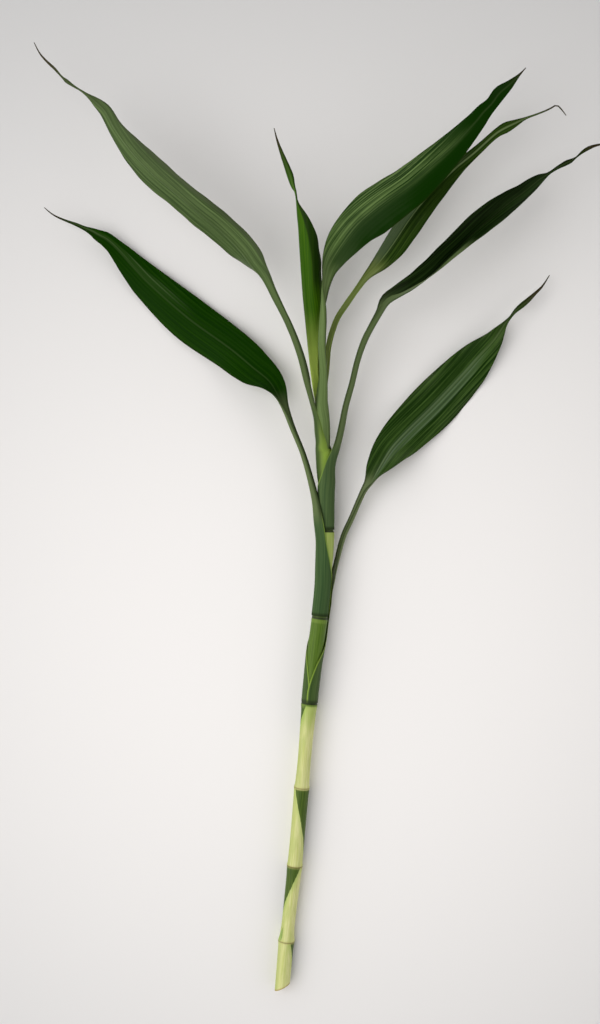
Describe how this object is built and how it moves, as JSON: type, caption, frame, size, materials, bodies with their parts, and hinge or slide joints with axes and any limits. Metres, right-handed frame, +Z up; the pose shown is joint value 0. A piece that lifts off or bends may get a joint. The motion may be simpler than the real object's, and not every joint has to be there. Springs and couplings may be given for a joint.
{
  "type": "lucky bamboo stem",
  "caption": "Cut stem of lucky bamboo lying down, with node rings, sheathed leaf bases and long, narrow, drooping-tipped leaves.",
  "frame": {"origin": "centre of the whole bunch's footprint, on the surface that it lies on", "axes": "+Y along the stem from its cut end to the leaf tips, +Z up out of the surface, +X to the right seen from above"},
  "size_m": [0.3189, 0.5287, 0.0465],
  "materials": {
    "cane": "smooth pale green cane with brown node rings",
    "leaf": "glossy dark green, pleated lengthwise",
    "turned_leaf": "matt grey-green back of a leaf",
    "young_leaf": "fresh bright green, still rolled"
  },
  "bodies": {
    "root": {"stem": "cane", "leaf_lower_right": "leaf", "leaf_lower_left": "leaf", "leaf_right": "leaf", "leaf_upper_left": "turned_leaf", "leaf_top_right": "leaf", "leaf_behind": "leaf", "leaf_centre": "young_leaf"}
  },
  "joints": []
}
